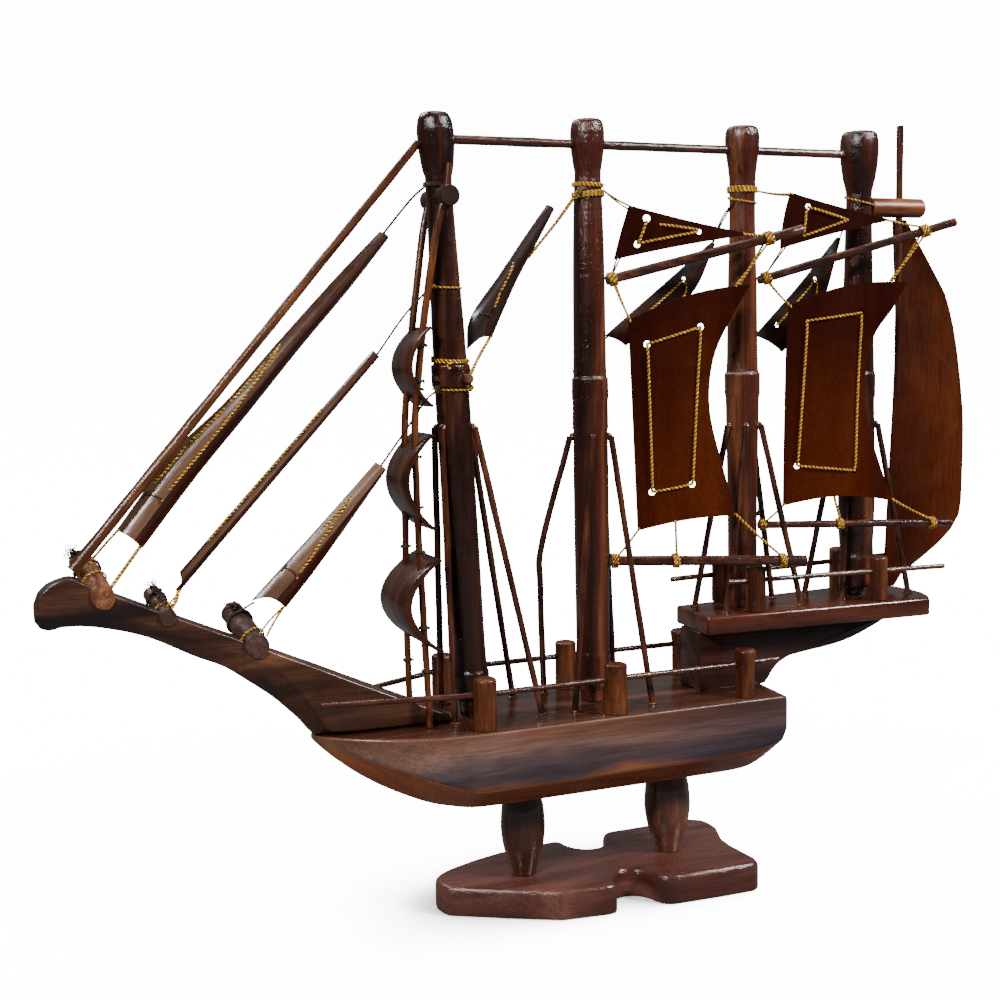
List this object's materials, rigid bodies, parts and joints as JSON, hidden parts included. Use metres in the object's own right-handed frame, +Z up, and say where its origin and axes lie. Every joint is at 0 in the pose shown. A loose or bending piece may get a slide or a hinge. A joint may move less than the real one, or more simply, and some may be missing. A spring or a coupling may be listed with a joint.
{
  "type": "model sailing ship",
  "caption": "Varnished wooden model sailing ship with raked prow, masts, veneer sails on swinging booms, stick shrouds and rails, standing on a scalloped base.",
  "frame": {"origin": "middle of the underside of the base board, between its scallops", "axes": "+Z up; +X from bow to stern; -Y to port"},
  "size_m": [0.407, 0.062, 0.3215],
  "materials": {
    "hull_wood": "satin varnish",
    "gloss_wood": "gloss varnish",
    "dark_wood": "satin varnish",
    "mast_wood": "gloss varnish",
    "post_wood": "thin worn varnish",
    "veneer": "satin varnish",
    "stick_wood": "satin varnish"
  },
  "bodies": {
    "ship": {"base_board": "gloss_wood", "leg_fore": "gloss_wood", "leg_aft": "gloss_wood", "hull": "hull_wood", "prow": "hull_wood", "prow_dowel_1": "post_wood", "prow_dowel_2": "post_wood", "prow_dowel_3": "post_wood", "stern_block": "dark_wood", "poop_deck": "gloss_wood", "rail_rod_port": "stick_wood", "rail_post_port_1": "post_wood", "rail_post_port_2": "post_wood", "rail_post_port_3": "post_wood", "poop_rod_port": "stick_wood", "poop_post_port_1": "post_wood", "poop_post_port_2": "post_wood", "rail_rod_stbd": "stick_wood", "rail_post_stbd_1": "post_wood", "rail_post_stbd_2": "post_wood", "rail_post_stbd_3": "post_wood", "poop_rod_stbd": "stick_wood", "poop_post_stbd_1": "post_wood", "poop_post_stbd_2": "post_wood", "mast_1": "mast_wood", "mast_2": "mast_wood", "mast_3": "mast_wood", "mast_4": "mast_wood", "top_rod": "stick_wood", "mast_1_peg": "post_wood", "forestay_stick": "stick_wood", "fore_dowel": "stick_wood", "bow_stick_port": "stick_wood", "bow_stick_stbd": "stick_wood", "square_sail_upper": "veneer", "square_sail_middle": "veneer", "square_sail_lower": "veneer", "jib_1": "veneer", "jib_2": "veneer", "jib_3": "veneer", "staysail_12": "veneer", "staysail_23": "veneer", "staysail_34": "veneer", "mast_4_dowel": "stick_wood", "shroud_set_1": "stick_wood", "shroud_set_2": "stick_wood", "shroud_set_3": "stick_wood", "shroud_set_4": "stick_wood"},
    "rig_2": {"gaff_2": "stick_wood", "boom_2": "stick_wood", "main_sail_2": "veneer", "topsail_2": "veneer"},
    "rig_3": {"gaff_3": "stick_wood", "boom_3": "stick_wood", "main_sail_3": "veneer", "topsail_3": "veneer"},
    "spanker": {"spanker_sail": "veneer", "spanker_stick": "stick_wood"}
  },
  "joints": [
    {"name": "rig_2_swing", "type": "hinge", "parent": "ship", "child": "rig_2", "pos_m": [0.004, 0, 0.2], "axis": [0, 0, -1], "range_deg": [-2, 10]},
    {"name": "rig_3_swing", "type": "hinge", "parent": "ship", "child": "rig_3", "pos_m": [0.076, 0, 0.2], "axis": [0, 0, -1], "range_deg": [-3, 2]},
    {"name": "spanker_swivel", "type": "hinge", "parent": "ship", "child": "spanker", "pos_m": [0.1565, 0, 0.28], "axis": [0, 0, -1], "range_deg": [-10, 10]}
  ]
}
